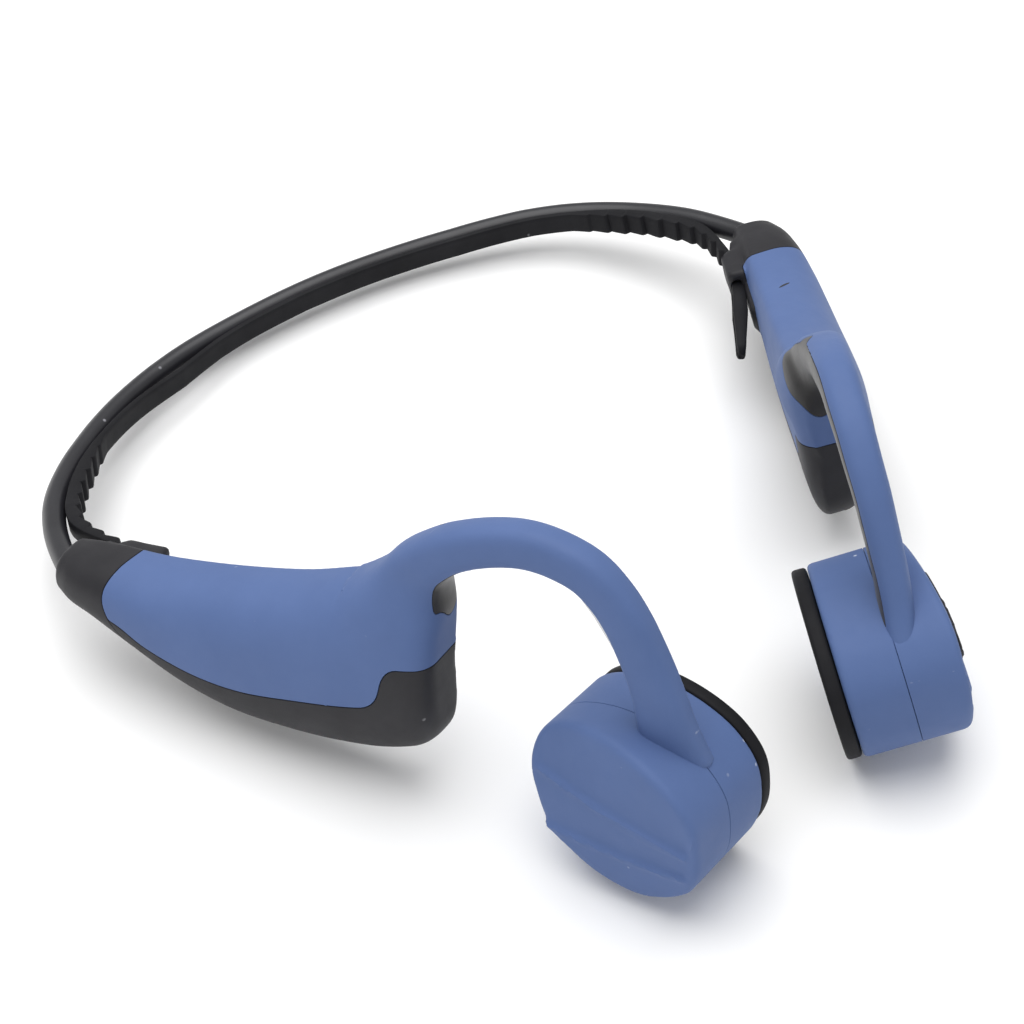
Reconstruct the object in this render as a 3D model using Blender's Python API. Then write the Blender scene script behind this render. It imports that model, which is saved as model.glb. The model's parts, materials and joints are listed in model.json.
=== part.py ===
"""Bone conduction headphones: two ear-side modules joined by a springy neckband with a ratchet strap.

Metres, +Z up. The wearer faces -Y, so +X is the wearer's left. The object stands on z = 0 on the bottoms of
both transducer pods and the back of the neckband, and the plane x = 0 mirrors one side into the other. Each
piece is modelled for the left side in the frame it belongs to, and the right side takes its mirror image.
"""

import math

import bmesh
import bpy
import numpy as np
from mathutils import Matrix, Vector

MM = 0.001
GAP = 0.3 * MM

# Where the neckband enters the left collar, and how the housing lies from there.
COLLAR = Vector((65.0, 26.83, 13.88)) * MM
TOE_IN = math.radians(27.85)
LEAN = math.radians(12.0)

# The left pod: the middle of its outer face, and the direction that face looks in.
POD = Vector((28.2, -59.67, 14.18)) * MM
POD_OUTWARD = Vector((0.94, -0.31, 0.15))
POD_DEPTH = 15.0 * MM
POD_PARTING = 8.4 * MM
POD_WALL = 1.3 * MM
PAD_DEPTH = 2.1 * MM

# The neckband: a Bezier from the left collar to the middle of the back, and the tube's radii.
BAND = [COLLAR + Vector(p) * MM for p in ((0, 0, 0), (-5.7, 31.9, -7.6), (-28.7, 44.1, -10.7), (-65, 44.1, -10.7))]
TUBE_RADIUS = 1.75 * MM
TUBE_BORE = 1.3 * MM
WIRE_RADIUS = 0.45 * MM
CABLE_RADIUS = 0.38 * MM
BAND_RELIEF = math.radians(23.0)

# The strap: how far it lies inside the tube at places along the band's Bezier (1 is the middle of the back),
# then its run through the collar's loop in the housing's frame (station, outward, up), and its section.
STRAP_OFFSETS = [(1.0, 2.4), (0.86, 2.4), (0.72, 2.4), (0.58, 2.4), (0.44, 2.45), (0.32, 2.6), (0.2, 3.2),
                 (0.08, 4.1)]
STRAP_TAIL = [(8.5, -4.9, 0.3), (14.0, -5.0, 0.0), (20.0, -5.2, -0.3), (27.0, -5.5, -0.8)]
STRAP_LIFT = 0.7 * MM
STRAP_HALF_HEIGHT = 1.65 * MM
STRAP_HALF_THICK = 0.5 * MM
TOOTH_PITCH = 4.2 * MM
TOOTH_RISE = 0.9 * MM
TEETH_FROM = 53.0 * MM
TEETH_TO = TEETH_FROM + 7 * TOOTH_PITCH
LOOP_STATION = 9.6
LOOP_SIZE = Vector((7.6, 3.9, 5.6)) * MM
STRAP_SPLIT_STATION = 5.0

# The housing: station, bottom, top, inner half-width, outer half-width, in the housing's frame (mm).
HOUSING = [
    (0.2, -2.4, 2.6, 2.2, 3.6), (1.6, -3.9, 3.7, 2.8, 5.4), (4.2, -4.7, 4.8, 2.8, 6.6),
    (8.8, -5.2, 5.7, 2.5, 7.5), (16.5, -7.6, 6.8, 2.6, 8.6), (25.0, -10.4, 8.8, 2.9, 9.4),
    (33.0, -11.6, 11.0, 3.2, 9.8), (42.0, -10.6, 14.0, 3.2, 10.0), (51.5, -8.8, 18.2, 3.2, 9.6),
    (58.2, -7.0, 20.3, 3.2, 8.8), (62.3, -4.4, 20.0, 2.8, 7.2), (64.6, -1.4, 12.4, 2.0, 5.0)]
HOUSING_WALL = 1.3 * MM
SECTION_POWER = 2.5
COLLAR_END = 9.6
PARTING = [(9.6, -0.6), (14.9, -1.0), (20.1, -2.8), (28.3, -3.9), (36.4, -3.4), (46.0, -1.0), (55.4, 1.6),
           (58.5, 4.0), (59.3, 8.0), (60.8, 10.6), (64.1, 11.7), (70.0, 13.6)]

# The ear hook: its centre line in the housing's frame (station, outward, up), and its half sizes.
HOOK = [Vector(p) * MM for p in (
    (57.2, 1.8, 16.6), (60.0, 2.6, 22.4), (64.4, 3.3, 27.3), (71.2, 3.1, 31.2), (76.9, 3.0, 32.7),
    (81.4, 3.1, 32.1), (85.2, 3.2, 30.0), (88.4, 3.4, 26.7), (91.5, 3.4, 22.8), (94.5, 3.4, 18.7),
    (97.5, 3.3, 14.8), (100.0, 3.0, 11.3), (102.2, 2.5, 8.7), (103.6, 1.9, 7.3))]
HOOK_THICK = [(0.0, 4.6), (0.1, 4.3), (0.22, 3.5), (0.4, 3.2), (0.7, 3.1), (0.86, 3.5), (1.0, 4.4)]
HOOK_WIDE = [(0.0, 4.6), (0.2, 3.9), (0.35, 3.3), (0.6, 2.9), (1.0, 2.3)]

# The large button on the left pod, and the charging port under the left housing.
BUTTON_CENTRE = (1.8 * MM, 5.4 * MM)
BUTTON_SIZE = (20.0 * MM, 6.4 * MM)
BUTTON_TRAVEL = 0.4 * MM
PORT_STATION = 30.0

BLUE = ("blue_soft_touch", (0.112, 0.176, 0.420), 0.55, 0.0)
BLACK = ("black_matte_plastic", (0.022, 0.022, 0.025), 0.5, 0.0)
RUBBER = ("black_rubber", (0.028, 0.028, 0.031), 0.7, 0.0)
STEEL = ("spring_steel", (0.55, 0.55, 0.56), 0.3, 1.0)
COPPER = ("copper_winding", (0.72, 0.35, 0.18), 0.35, 1.0)
MAGNET = ("plated_magnet", (0.62, 0.62, 0.64), 0.22, 1.0)
BOARD = ("green_circuit_board", (0.03, 0.20, 0.09), 0.45, 0.0)
FOIL = ("silver_battery_foil", (0.60, 0.61, 0.63), 0.35, 0.6)

collection = bpy.data.collections.new("bone_conduction_headphones")
frames = {}
materials = {}


def clear_scene():
    for obj in list(bpy.data.objects):
        bpy.data.objects.remove(obj, do_unlink=True)
    bpy.context.scene.collection.children.link(collection)


def material(spec):
    name, colour, roughness, metallic = spec
    if name not in materials:
        made = bpy.data.materials.new(name)
        made.use_nodes = True
        shader = made.node_tree.nodes["Principled BSDF"]
        shader.inputs["Base Color"].default_value = (*colour, 1.0)
        shader.inputs["Roughness"].default_value = roughness
        shader.inputs["Metallic"].default_value = metallic
        made.diffuse_color = (*colour, 1.0)
        materials[name] = made
    return materials[name]


def mirrored(vector):
    return Vector((-vector.x, vector.y, vector.z))


def add_frame(name, origin, forward, up):
    """Two empties, left and right: local X forward, Z up. Their Y axes both point to +X's side or away from it."""
    for side, turn in (("left", Vector), ("right", mirrored)):
        x_axis, z_axis = turn(forward).normalized(), turn(up).normalized()
        y_axis = z_axis.cross(x_axis)
        empty = bpy.data.objects.new(f"{name}_{side}", None)
        empty.empty_display_size = 10 * MM
        turned = Matrix((x_axis, y_axis, z_axis)).transposed().to_4x4()
        empty.matrix_world = Matrix.Translation(turn(origin)) @ turned
        collection.objects.link(empty)
        frames[name, side] = empty


def add(name, mesh, spec, frame=None, location=(0, 0, 0)):
    mesh.name = name
    mesh.materials.clear()
    mesh.materials.append(material(spec))
    mesh.shade_smooth()
    mesh.set_sharp_from_angle(angle=math.radians(35))
    obj = bpy.data.objects.new(name, mesh)
    collection.objects.link(obj)
    if frame is not None:
        obj.parent = frames[frame]
    obj.location = location
    return obj


def mirrored_mesh(mesh, axis):
    """A mirror image of a mesh across the plane where this axis is 0."""
    copy = mesh.copy()
    bm = bmesh.new()
    bm.from_mesh(copy)
    for vert in bm.verts:
        vert.co[axis] = -vert.co[axis]
    bmesh.ops.reverse_faces(bm, faces=bm.faces)
    bm.to_mesh(copy)
    bm.free()
    return copy


def add_pair(name, mesh, spec, frame=None):
    """The left piece and its mirror image on the right. A frame's local Y turns over, as world X does."""
    if frame is None:
        add(f"{name}_right", mirrored_mesh(mesh, 0), spec)
        add(f"{name}_left", mesh, spec)
    else:
        add(f"{name}_right", mirrored_mesh(mesh, 1), spec, (frame, "right"))
        add(f"{name}_left", mesh, spec, (frame, "left"))


def finished(bm):
    """The mesh of a bmesh whose faces all point out."""
    bmesh.ops.recalc_face_normals(bm, faces=bm.faces)
    if bm.calc_volume(signed=True) < 0:
        bmesh.ops.reverse_faces(bm, faces=bm.faces)
    mesh = bpy.data.meshes.new("piece")
    bm.to_mesh(mesh)
    bm.free()
    return mesh


def loft(rings, ring_closed=False):
    """A solid through rings of equally many points: capped at both ends, or joined last to first."""
    bm = bmesh.new()
    loops = [[bm.verts.new(point) for point in ring] for ring in rings]
    pairs = list(zip(loops, loops[1:]))
    if ring_closed:
        pairs.append((loops[-1], loops[0]))
    for low, high in pairs:
        for i in range(len(low)):
            j = (i + 1) % len(low)
            bm.faces.new((low[i], low[j], high[j], high[i]))
    if not ring_closed:
        bm.faces.new(loops[0][::-1])
        bm.faces.new(loops[-1])
    return finished(bm)


def cylinder(radius, depth, sides, centre=(0, 0, 0), along="Y"):
    bm = bmesh.new()
    turn = {"Y": Matrix.Rotation(math.pi / 2, 4, "X"), "Z": Matrix(), "X": Matrix.Rotation(math.pi / 2, 4, "Y")}[along]
    bmesh.ops.create_cone(bm, cap_ends=True, segments=sides, radius1=radius, radius2=radius, depth=depth,
                          matrix=Matrix.Translation(centre) @ turn)
    return finished(bm)


def box(size, centre=(0, 0, 0)):
    bm = bmesh.new()
    bmesh.ops.create_cube(bm, size=1.0, matrix=Matrix.Translation(centre) @ Matrix.Diagonal((*size, 1.0)))
    return finished(bm)


def carved(mesh, cuts):
    """The mesh after exact Boolean operations, each given as (operation, other mesh)."""
    body = bpy.data.objects.new("body", mesh)
    bpy.context.scene.collection.objects.link(body)
    tools = []
    for operation, other in cuts:
        tool = bpy.data.objects.new("tool", other)
        bpy.context.scene.collection.objects.link(tool)
        modifier = body.modifiers.new(operation, "BOOLEAN")
        modifier.operation = operation
        modifier.object = tool
        modifier.solver = "EXACT"
        tools.append(tool)
    graph = bpy.context.evaluated_depsgraph_get()
    result = bpy.data.meshes.new_from_object(body.evaluated_get(graph))
    for obj in (body, *tools):
        bpy.data.objects.remove(obj, do_unlink=True)
    bm = bmesh.new()
    bm.from_mesh(result)
    bmesh.ops.remove_doubles(bm, verts=bm.verts, dist=0.002 * MM)
    bmesh.ops.dissolve_degenerate(bm, edges=bm.edges, dist=0.002 * MM)
    bm.to_mesh(result)
    bm.free()
    return result


def smooth(stations, at):
    """Values at a place along stations of (place, value, value ...), on a curve through every station."""
    places = [row[0] for row in stations]
    at = min(max(at, places[0]), places[-1])
    k = min(max(np.searchsorted(places, at) - 1, 0), len(places) - 2)
    values = [np.array(row[1:], float) for row in stations]

    def slope(i):
        low, high = max(i - 1, 0), min(i + 1, len(places) - 1)
        return (values[high] - values[low]) / (places[high] - places[low])

    span = places[k + 1] - places[k]
    t = (at - places[k]) / span
    return ((2 * t**3 - 3 * t**2 + 1) * values[k] + (t**3 - 2 * t**2 + t) * span * slope(k)
            + (3 * t**2 - 2 * t**3) * values[k + 1] + (t**3 - t**2) * span * slope(k + 1))


def along(points, count):
    """Evenly spread points of a smooth curve through the given points, with the length it has up to each."""
    rows = [(i, *p) for i, p in enumerate(points)]
    dense = np.array([smooth(rows, u) for u in np.linspace(0, len(points) - 1, 200)])
    lengths = np.concatenate([[0], np.cumsum(np.linalg.norm(np.diff(dense, axis=0), axis=1))])
    wanted = np.linspace(0, lengths[-1], count)
    spread = [Vector([np.interp(w, lengths, dense[:, axis]) for axis in range(3)]) for w in wanted]
    return spread, wanted


def tangents(points):
    ends = [points[0], *points, points[-1]]
    return [(after - before).normalized() for before, after in zip(ends, ends[2:])]


def bezier(controls, t):
    a, b, c, d = controls
    s = 1 - t
    return a * s**3 + b * 3 * s**2 * t + c * 3 * s * t**2 + d * t**3


def circle(centre, across, up, radius, sides):
    turns = [2 * math.pi * (i + 0.5) / sides for i in range(sides)]
    return [centre + across * (radius * math.cos(a)) + up * (radius * math.sin(a)) for a in turns]


# ---- neckband ----

def band_centre_line(count):
    """Points of the left half of the neckband, from just inside the collar to the middle of the back."""
    start = BAND[0] - (BAND[1] - BAND[0]).normalized() * (4.6 * MM)
    return [start] + [bezier(BAND, (i / (count - 1))**0.85) for i in range(count)]


def band_sweep(radius, sides, rise, middle_gap, count=15, inner=None):
    """A round bar or tube along the half neckband, lifted by rise, whose end at the back is cut on a slant."""
    line = band_centre_line(count)
    rings, bores = [], []
    for point, tangent in zip(line, tangents(line)):
        across = tangent.cross(Vector((0, 0, 1))).normalized()
        up = across.cross(tangent)
        rings.append(circle(point + up * rise, across, up, radius, sides))
        bores.append(circle(point + up * rise, across, up, inner or radius, sides))
    for ring in (rings[-1], bores[-1]):
        for point in ring:
            point.x = middle_gap + (point.y - BAND[3].y + TUBE_RADIUS) * math.tan(BAND_RELIEF)
    if inner is None:
        return loft(rings)
    return loft(rings + bores[::-1], ring_closed=True)


def add_neckband():
    add_pair("neckband_tube", band_sweep(TUBE_RADIUS, 10, 0, GAP / 2, inner=TUBE_BORE), RUBBER)
    add_pair("neckband_wire", band_sweep(WIRE_RADIUS, 6, -0.7 * MM, 1.2 * MM), STEEL)
    add_pair("neckband_cable", band_sweep(CABLE_RADIUS, 6, 0.75 * MM, 1.2 * MM), COPPER)


# ---- strap ----

def strap_route():
    """Points of the strap's centre line, from the middle of the back to its loose end."""
    points = []
    for t, offset in STRAP_OFFSETS:
        ahead = bezier(BAND, t - 0.01) - bezier(BAND, t + 0.01)
        inward = ahead.cross(Vector((0, 0, 1))).normalized()
        points.append(bezier(BAND, t) + inward * (offset * MM) + Vector((0, 0, STRAP_LIFT)))
    to_world = frames["housing", "left"].matrix_world
    return points + [to_world @ (Vector(p) * MM) for p in STRAP_TAIL]


def strap_section(point, tangent, rise):
    """Four corners of the strap, with its inner face raised by a tooth."""
    inward = tangent.cross(Vector((0, 0, 1))).normalized()
    up = inward.cross(tangent)
    corners = ((1, 1), (1, -1), (-1, -1), (-1, 1))
    return [point + inward * (a * STRAP_HALF_THICK + (rise if a > 0 else 0)) + up * (b * STRAP_HALF_HEIGHT)
            for a, b in corners]


def tooth_rise(place):
    """How far the strap's inner face stands out: wedges that grow towards the front and drop off sharply."""
    if not TEETH_FROM < place < TEETH_TO:
        return 0.0
    phase = (place - TEETH_FROM) / TOOTH_PITCH % 1.0
    return TOOTH_RISE * min(phase / 0.85, (1.0 - phase) / 0.15)


def strap_piece(first, last, tapered=False):
    """The stretch of strap between two lengths from the middle of the back."""
    line, lengths = along(strap_route(), 400)
    directions = tangents(line)
    teeth = round((TEETH_TO - TEETH_FROM) / TOOTH_PITCH)
    stops = {first, last}
    for tooth in range(teeth):
        start = TEETH_FROM + tooth * TOOTH_PITCH
        stops |= {start, start + 0.85 * TOOTH_PITCH}
    stops |= {first + (TEETH_FROM - first) * i / 8 for i in range(1, 8) if first < TEETH_FROM}
    stops |= {TEETH_TO + (last - TEETH_TO) * i / 5 for i in range(6) if last > TEETH_TO}
    rings = []
    for stop in sorted(place for place in stops if first <= place <= last):
        k = min(int(np.searchsorted(lengths, stop)), len(line) - 1)
        rings.append(strap_section(line[k], directions[k], tooth_rise(stop)))
    if tapered:
        tip = sum(rings[-1], Vector()) / 4
        rings[-1] = [tip.lerp(corner, 0.55) for corner in rings[-1]]
    return loft(rings)


def add_strap():
    line, lengths = along(strap_route(), 400)
    to_housing = frames["housing", "left"].matrix_world.inverted()
    split = next(length for point, length in zip(line, lengths) if (to_housing @ point).x > STRAP_SPLIT_STATION * MM)
    add_pair("strap_middle", strap_piece(1.3 * MM, split - GAP), RUBBER)
    add_pair("strap_end", strap_piece(split, lengths[-1], tapered=True), RUBBER)


# ---- housing ----

def housing_ring(station, inset=0.0, sides=20):
    bottom, top, inner, outer = smooth(HOUSING, station) * MM
    middle, high = (top + bottom) / 2, (top - bottom) / 2 - inset
    ring = []
    for i in range(sides):
        turn = 2 * math.pi * i / sides
        c, s = math.cos(turn), math.sin(turn)
        wide = (outer if c > 0 else inner) - inset
        power = 2 / SECTION_POWER
        ring.append(Vector((station * MM, math.copysign(abs(c)**power, c) * wide,
                            middle + math.copysign(abs(s)**power, s) * high)))
    return ring


def plate(outline, half_width=9 * MM):
    """An outline of (station, up) in mm, extruded across the housing."""
    return loft([[Vector((x * MM, side, z * MM)) for x, z in outline] for side in (-half_width, half_width)])


def hook_frames(count, first=0.0, last=1.0):
    """Places along the ear hook: fraction, centre, outward across it, and away from the ear."""
    line, _ = along(HOOK, 60)
    directions = tangents(line)
    places = []
    for i in range(count):
        fraction = first + (last - first) * i / (count - 1)
        k = fraction * (len(line) - 1)
        low = min(int(k), len(line) - 2)
        centre = line[low].lerp(line[low + 1], k - low)
        tangent = directions[low].lerp(directions[low + 1], k - low).normalized()
        across = (Vector((0, 1, 0)) - tangent * tangent.y).normalized()
        places.append((fraction, centre, across, across.cross(tangent).normalized() * -1))
    return places


def hook_ring(place, outline, grow=0.0):
    fraction, centre, across, away = place
    thick = smooth(HOOK_THICK, fraction)[0] * MM + grow
    wide = smooth(HOOK_WIDE, fraction)[0] * MM + grow
    return [centre + across * (b * wide) + away * (n * thick) for b, n in outline]


SLEEVE = [(-0.62, -1), (-0.96, -0.62), (-1, 0.1), (-0.62, 0.78), (0, 1), (0.62, 0.78), (1, 0.1), (0.96, -0.62),
          (0.62, -1)]


def hook_envelope(grow, first=0.0, last=1.0, count=10):
    return loft([hook_ring(place, SLEEVE, grow) for place in hook_frames(count, first, last)])


def hook_channel(place, half_width, low, high):
    """Corners of a square bar in the hook: its sizes are counted from the surface that faces the ear."""
    fraction, centre, across, away = place
    thick = smooth(HOOK_THICK, fraction)[0] * MM
    return [centre + across * (b * half_width) + away * (n - thick)
            for b, n in ((1, low), (1, high), (-1, high), (-1, low))]


def add_housing():
    stations = [row[0] for row in HOUSING]
    outer = [housing_ring(s) for s in stations]
    shell = loft(outer)
    cavity = loft([housing_ring(s, HOUSING_WALL, 14) for s in (13.5, 17.0, 25.0, 33.0, 42.0, 51.5, 58.2, 62.0)])
    half_gap = GAP / 2 / MM
    above = [(x, z + half_gap) for x, z in PARTING] + [(68, 40), (COLLAR_END + half_gap, 40)]
    below = [(x, z - half_gap) for x, z in PARTING] + [(68, -30), (COLLAR_END + half_gap, -30)]
    above[0] = (COLLAR_END + half_gap, above[0][1])
    below[0] = (COLLAR_END + half_gap, below[0][1])
    root = hook_envelope(GAP, 0.0, 0.3, 5)
    upper = carved(shell.copy(), [("DIFFERENCE", cavity.copy()), ("INTERSECT", plate(above)), ("DIFFERENCE", root)])
    lower = carved(shell.copy(), [("DIFFERENCE", cavity), ("INTERSECT", plate(below))])
    add_pair("housing_cover", upper, BLUE, "housing")
    return shell, lower


def add_collar(shell):
    """The black end of the housing: a socket for the neckband tube and a loop for the strap on its inner side."""
    end = COLLAR_END - GAP / 2 / MM
    keep = plate([(-3, -20), (end, -20), (end, 20), (-3, 20)])
    to_housing = frames["housing", "left"].matrix_world.inverted()
    line = [to_housing @ p for p in band_centre_line(15)[:4]]
    line[0] = line[0] - (line[1] - line[0]).normalized() * 0.4 * MM
    bores = []
    for point, tangent in zip(line, tangents(line)):
        across = tangent.cross(Vector((0, 0, 1))).normalized()
        bores.append(circle(point, across, across.cross(tangent), TUBE_RADIUS + GAP, 10))
    socket = loft(bores)
    place = strap_at_loop(to_housing)
    ring = box(LOOP_SIZE, (0, -0.55 * MM, 0))
    ring.transform(place)
    bridge = box((3.4 * MM, 3.0 * MM, 4.8 * MM), (7.6 * MM, -2.6 * MM, 0.2 * MM))
    slot = box((2 * LOOP_SIZE.x, 2 * (STRAP_HALF_THICK + GAP) + TOOTH_RISE, 2 * (STRAP_HALF_HEIGHT + GAP)),
               (0, -TOOTH_RISE / 2, 0))
    slot.transform(place)
    mesh = carved(shell, [("INTERSECT", keep), ("UNION", bridge), ("UNION", ring), ("DIFFERENCE", slot),
                          ("DIFFERENCE", socket)])
    add_pair("collar", mesh, BLACK, "housing")


def strap_at_loop(to_housing):
    """Where the strap crosses the collar's loop, in the housing's frame, its local X along the strap."""
    line = [to_housing @ point for point in along(strap_route(), 400)[0]]
    k = next(i for i, point in enumerate(line) if point.x > LOOP_STATION * MM)
    tangent = tangents(line)[k]
    outward = (to_housing.to_3x3() @ Vector((0, 0, 1))).cross(tangent).normalized()
    turn = Matrix((tangent, outward, tangent.cross(outward))).transposed().to_4x4()
    return Matrix.Translation(line[k]) @ turn


def add_hook():
    """The sprung wire of the ear hook in its soft sleeve, and the strip that closes the sleeve's groove."""
    sleeve = [hook_ring(place, SLEEVE) + hook_channel(place, 1.3 * MM, 0, 2.9 * MM) for place in hook_frames(18)]
    liner = [hook_channel(place, 1.0 * MM, 0, 1.1 * MM) for place in hook_frames(14, 0.1, 0.86)]
    wire = [hook_channel(place, 0.5 * MM, 1.4 * MM, 2.4 * MM) for place in hook_frames(14, 0.02, 0.98)]
    add_pair("hook_sleeve", loft(sleeve), BLUE, "housing")
    add_pair("hook_liner", loft(liner), RUBBER, "housing")
    add_pair("hook_wire", loft(wire), STEEL, "housing")


# ---- pods ----

POD_OUTLINE = [(13.9, -1.5), (13.4, 3.6), (11.6, 7.3), (8.0, 10.3), (3.5, 11.7), (-1.3, 11.8), (-6.6, 10.3),
               (-11.2, 8.3), (-13.6, 4.6), (-13.4, -0.4), (-11.2, -5.0), (-6.6, -8.4), (-0.8, -11.0), (4.2, -11.9),
               (9.0, -11.2), (12.7, -7.6)]


def pod_ring(inward, inset=0.0):
    """The pod's outline at a depth behind its outer face, drawn in by inset. Local Y points outward."""
    ring = []
    for x, z in POD_OUTLINE:
        reach = math.hypot(x, z)
        scale = (reach * MM - inset) / reach
        ring.append(Vector((x * scale, -inward, z * scale)))
    return ring


def stadium(centre_x, centre_z, length, height, steps=6):
    """A flat outline with round ends, as (x, z) pairs."""
    radius = height / 2
    points = []
    for end, start in ((1, -math.pi / 2), (-1, math.pi / 2)):
        for i in range(steps + 1):
            turn = start + math.pi * i / steps
            points.append((centre_x + end * (length / 2 - radius) + radius * math.cos(turn),
                           centre_z + radius * math.sin(turn)))
    return points


def slab(outline, inward_from, inward_to):
    """An (x, z) outline made solid between two depths behind the pod's outer face."""
    return loft([[Vector((x, -depth, z)) for x, z in outline] for depth in (inward_from, inward_to)])


def add_pods():
    edge = 1.1 * MM
    parting = GAP / 2
    outer_cup = loft([pod_ring(0, edge), pod_ring(0.35 * edge, 0.3 * edge), pod_ring(edge),
                      pod_ring(POD_PARTING - parting), pod_ring(POD_PARTING - parting, POD_WALL),
                      pod_ring(1.6 * MM, POD_WALL)])
    floor = POD_DEPTH - 1.2 * MM
    inner_ring = loft([pod_ring(POD_PARTING + parting), pod_ring(POD_DEPTH - 0.5 * edge),
                       pod_ring(POD_DEPTH, 0.5 * edge), pod_ring(POD_DEPTH, 3.4 * MM), pod_ring(floor, 3.4 * MM),
                       pod_ring(floor, POD_WALL), pod_ring(POD_PARTING + parting, POD_WALL)], ring_closed=True)
    to_pod = frames["pod", "left"].matrix_world.inverted() @ frames["housing", "left"].matrix_world
    tip = hook_envelope(GAP, 0.72, 1.008, 6)
    tip.transform(to_pod)
    outer_cup = carved(outer_cup, [("DIFFERENCE", tip.copy())])
    inner_ring = carved(inner_ring, [("DIFFERENCE", tip)])
    add("pod_cover_right", mirrored_mesh(outer_cup, 1), BLUE, ("pod", "right"))
    well = stadium(*BUTTON_CENTRE, BUTTON_SIZE[0] + 2 * GAP, BUTTON_SIZE[1] + 2 * GAP)
    window = stadium(*BUTTON_CENTRE, BUTTON_SIZE[0] - 4 * MM, BUTTON_SIZE[1] - 3 * MM)
    left_cup = carved(outer_cup, [("DIFFERENCE", slab(well, -3 * MM, 0.9 * MM)),
                                  ("DIFFERENCE", slab(window, -3 * MM, 2.4 * MM))])
    add("pod_cover_left", left_cup, BLUE, ("pod", "left"))
    add_pair("pod_body", inner_ring, BLUE, "pod")
    start = POD_DEPTH + GAP
    pad = loft([pod_ring(start, 0.7 * MM), pod_ring(start + 0.4 * MM, 0.1 * MM),
                pod_ring(start + PAD_DEPTH - 0.7 * MM, 0.1 * MM), pod_ring(start + PAD_DEPTH, 1.0 * MM)])
    add_pair("ear_pad", pad, RUBBER, "pod")


def add_multifunction_button():
    cap = slab(stadium(*BUTTON_CENTRE, *BUTTON_SIZE), -0.8 * MM, 0.9 * MM - BUTTON_TRAVEL - 0.1 * MM)
    stem = slab(stadium(*BUTTON_CENTRE, 5 * MM, 1.6 * MM, 2), 0.2 * MM, 3.0 * MM)
    add("multifunction_button", carved(cap, [("UNION", stem)]), BLACK, ("pod", "left"))
    add("multifunction_switch", box((5.0 * MM, 1.4 * MM, 3.2 * MM), (BUTTON_CENTRE[0], -4.4 * MM, BUTTON_CENTRE[1])),
        BLACK, ("pod", "left"))


def add_transducer():
    """The moving-armature driver of each pod: cup, magnet, coil and the spring plate that shakes the pad."""
    def ring(radius, depth):
        return [Vector((radius * math.cos(a), -depth, radius * math.sin(a)))
                for a in (2 * math.pi * i / 16 for i in range(16))]
    cup = loft([ring(7.5 * MM, 8.4 * MM), ring(7.5 * MM, 12.4 * MM), ring(6.9 * MM, 12.4 * MM),
                ring(6.9 * MM, 9.2 * MM)])
    coil = loft([ring(6.5 * MM, 9.6 * MM), ring(6.5 * MM, 12.0 * MM), ring(5.5 * MM, 12.0 * MM),
                 ring(5.5 * MM, 9.6 * MM)], ring_closed=True)
    add_pair("transducer_cup", cup, STEEL, "pod")
    add_pair("transducer_coil", coil, COPPER, "pod")
    add_pair("transducer_magnet", cylinder(5.0 * MM, 2.4 * MM, 16, (0, -10.8 * MM, 0)), MAGNET, "pod")
    add_pair("transducer_plate", cylinder(7.6 * MM, 0.8 * MM, 16, (0, -13.2 * MM, 0)), STEEL, "pod")


# ---- what the housings hold ----

def underside(station):
    """The lowest point of the housing's section at a station, with its tilt along the housing."""
    bottom, _, inner, outer = smooth(HOUSING, station) * MM
    rise = (smooth(HOUSING, station + 3) - smooth(HOUSING, station - 3))[0]
    turn = Matrix.Rotation(-math.atan2(rise, 6.0), 4, "Y")
    return Matrix.Translation((station * MM, (outer - inner) / 2, bottom)) @ turn


def placed(mesh, place):
    mesh.transform(place)
    return mesh


def oval(half_length, half_width, depth):
    mesh = cylinder(1.0, depth, 14, (0, 0, 0), "Z")
    mesh.transform(Matrix.Diagonal((half_length, half_width, 1, 1)))
    return mesh


def add_electronics(lower):
    left, right = ("housing", "left"), ("housing", "right")
    add("battery", box((26 * MM, 5.5 * MM, 10 * MM), (37 * MM, -3.0 * MM, -0.2 * MM)), FOIL, right)
    add("circuit_board", box((32 * MM, 0.8 * MM, 9 * MM), (38 * MM, 4.5 * MM, 0.0 * MM)), BOARD, left)
    add("microphone", box((3.0 * MM, 1.1 * MM, 2.4 * MM), (25 * MM, 3.2 * MM, 1.8 * MM)), STEEL, left)
    port = underside(PORT_STATION)
    shroud = placed(box((7.4 * MM, 2.6 * MM, 3.6 * MM), (0, 0, 3.2 * MM)), port)
    mouth = placed(box((6.2 * MM, 1.5 * MM, 3.0 * MM), (0, 0, 2.4 * MM)), port)
    add("charging_socket", carved(shroud, [("DIFFERENCE", mouth)]), STEEL, left)
    add("port_cover", placed(box((7.4 * MM, 2.6 * MM, 0.8 * MM), (0, 0, 0.6 * MM)), port), RUBBER, left)
    openings = [placed(box((8.0 * MM, 3.2 * MM, 8 * MM)), port)]
    for name, station in (("volume_down", 46.0), ("volume_up", 57.0)):
        place = underside(station)
        openings.append(placed(oval(4.4 * MM, 2.7 * MM, 8 * MM), place))
        add(f"{name}_button", placed(oval(4.1 * MM, 2.4 * MM, 2.4 * MM), place), BLACK, left)
        add(f"{name}_switch", placed(box((3.2 * MM, 2.6 * MM, 1.6 * MM), (0, 0, 2.7 * MM)), place), STEEL, left)
    add("housing_base_right", mirrored_mesh(lower, 1), BLACK, right)
    add("housing_base_left", carved(lower, [("DIFFERENCE", opening) for opening in openings]), BLACK, left)


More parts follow.
